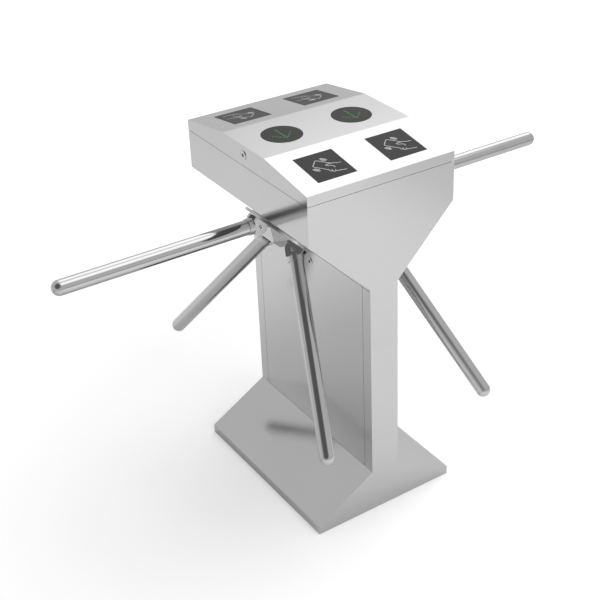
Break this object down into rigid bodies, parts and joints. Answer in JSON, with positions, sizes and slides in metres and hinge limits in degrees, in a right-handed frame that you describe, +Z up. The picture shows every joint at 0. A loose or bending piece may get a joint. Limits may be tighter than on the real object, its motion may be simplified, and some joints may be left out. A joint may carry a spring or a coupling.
{
  "type": "tripod turnstile",
  "caption": "Free-standing two-lane tripod turnstile: hourglass sheet-steel cabinet, sloped lid with reader windows and round displays, a three-armed rotor on each side.",
  "frame": {"origin": "middle of the footprint on the floor", "axes": "+Z up; the lanes run along Y; the barrier arms reach out along -X and +X"},
  "size_m": [1.4314, 0.7906, 1],
  "materials": {
    "arm_steel": "polished tube",
    "bearing_steel": "ground",
    "board_green": "solder mask",
    "cabinet_steel": "satin brushed",
    "gear_brass": "machined",
    "hub_steel": "satin machined",
    "lock_brass": "machined",
    "lock_chrome": "polished",
    "module_black": "matt",
    "window_black": "gloss",
    "zinc_plate": "zinc plated"
  },
  "bodies": {
    "cabinet": {"front_panel": "cabinet_steel", "rear_panel": "cabinet_steel", "left_head_sheet": "cabinet_steel", "right_head_sheet": "cabinet_steel", "lid_lock_keeper": "zinc_plate", "base_sheets": "cabinet_steel", "column_posts": "cabinet_steel", "base_plate": "zinc_plate", "lid_hinge_leaf": "zinc_plate", "controller_board": "board_green", "power_supply": "module_black", "chassis_plates": "zinc_plate", "bearing_housings": "zinc_plate", "shaft_bearings": "bearing_steel", "damper_bodies": "module_black", "index_levers": "zinc_plate", "index_springs": "zinc_plate", "lock_solenoids": "module_black"},
    "lid": {"lid": "cabinet_steel", "lid_hinge_strap": "zinc_plate", "reader_windows": "window_black", "reader_modules": "module_black", "display_windows": "window_black", "display_boards": "board_green", "lid_lock_barrel": "lock_chrome"},
    "lid_lock": {"lid_lock_plug": "lock_brass"},
    "left_door": {"left_door": "cabinet_steel", "left_lock_barrel": "lock_chrome"},
    "left_lock": {"left_lock_plug": "lock_brass"},
    "right_door": {"right_door": "cabinet_steel", "right_lock_barrel": "lock_chrome"},
    "right_lock": {"right_lock_plug": "lock_brass"},
    "left_rotor": {"left_hub_disc": "hub_steel", "left_hub_head": "hub_steel", "left_pivot_bolts": "lock_chrome", "left_shaft": "bearing_steel", "left_index_cam": "zinc_plate", "left_drive_gear": "gear_brass", "left_arm_fork_2": "hub_steel", "left_arm_fork_3": "hub_steel", "left_arm_tube_2": "arm_steel", "left_arm_tube_3": "arm_steel"},
    "left_barrier_arm": {"left_arm_fork_1": "hub_steel", "left_arm_tube_1": "arm_steel"},
    "left_pinion": {"left_damper_pinion": "gear_brass"},
    "right_rotor": {"right_hub_disc": "hub_steel", "right_hub_head": "hub_steel", "right_pivot_bolts": "lock_chrome", "right_shaft": "bearing_steel", "right_index_cam": "zinc_plate", "right_drive_gear": "gear_brass", "right_arm_fork_2": "hub_steel", "right_arm_fork_3": "hub_steel", "right_arm_tube_2": "arm_steel", "right_arm_tube_3": "arm_steel"},
    "right_barrier_arm": {"right_arm_fork_1": "hub_steel", "right_arm_tube_1": "arm_steel"},
    "right_pinion": {"right_damper_pinion": "gear_brass"}
  },
  "joints": [
    {"name": "left_rotor_turn", "type": "hinge", "parent": "cabinet", "child": "left_rotor", "pos_m": [-0.11843, 0.004, 0.75043], "axis": [-0.7071, 0, -0.7071], "continuous": true},
    {"name": "left_arm_drop", "type": "hinge", "parent": "left_rotor", "child": "left_barrier_arm", "pos_m": [-0.18343, 0.004, 0.78013], "axis": [0, -1, 0], "range_deg": [0, 90]},
    {"name": "left_pinion_turn", "type": "hinge", "parent": "cabinet", "child": "left_pinion", "pos_m": [-0.07105, 0.064, 0.79781], "axis": [-0.7071, 0, -0.7071], "continuous": true},
    {"name": "left_door_tilt", "type": "hinge", "parent": "cabinet", "child": "left_door", "pos_m": [-0.036, 0, 0.13057], "axis": [0, -1, 0], "range_deg": [0, 2.2]},
    {"name": "left_lock_turn", "type": "hinge", "parent": "left_door", "child": "left_lock", "pos_m": [-0.041, -0.008, 0.634], "axis": [1, 0, 0], "range_deg": [0, 90]},
    {"name": "right_rotor_turn", "type": "hinge", "parent": "cabinet", "child": "right_rotor", "pos_m": [0.11843, -0.004, 0.75043], "axis": [0.7071, 0, -0.7071], "continuous": true},
    {"name": "right_arm_drop", "type": "hinge", "parent": "right_rotor", "child": "right_barrier_arm", "pos_m": [0.18343, -0.004, 0.78013], "axis": [0, 1, 0], "range_deg": [0, 90]},
    {"name": "right_pinion_turn", "type": "hinge", "parent": "cabinet", "child": "right_pinion", "pos_m": [0.07105, -0.064, 0.79781], "axis": [0.7071, 0, -0.7071], "continuous": true},
    {"name": "right_door_tilt", "type": "hinge", "parent": "cabinet", "child": "right_door", "pos_m": [0.036, 0, 0.13057], "axis": [0, 1, 0], "range_deg": [0, 2.2]},
    {"name": "right_lock_turn", "type": "hinge", "parent": "right_door", "child": "right_lock", "pos_m": [0.041, 0.008, 0.634], "axis": [-1, 0, 0], "range_deg": [0, 90]},
    {"name": "lid_open", "type": "hinge", "parent": "cabinet", "child": "lid", "pos_m": [0.206, 0, 0.9455], "axis": [0, 1, 0], "range_deg": [0, 75]},
    {"name": "lid_lock_turn", "type": "hinge", "parent": "lid", "child": "lid_lock", "pos_m": [-0.21, 0, 0.9745], "axis": [1, 0, 0], "range_deg": [0, 90]}
  ],
  "couplings": [
    {"joint": "left_pinion_turn", "follows": "left_rotor_turn", "ratio": -2.75},
    {"joint": "right_pinion_turn", "follows": "right_rotor_turn", "ratio": -2.75}
  ]
}
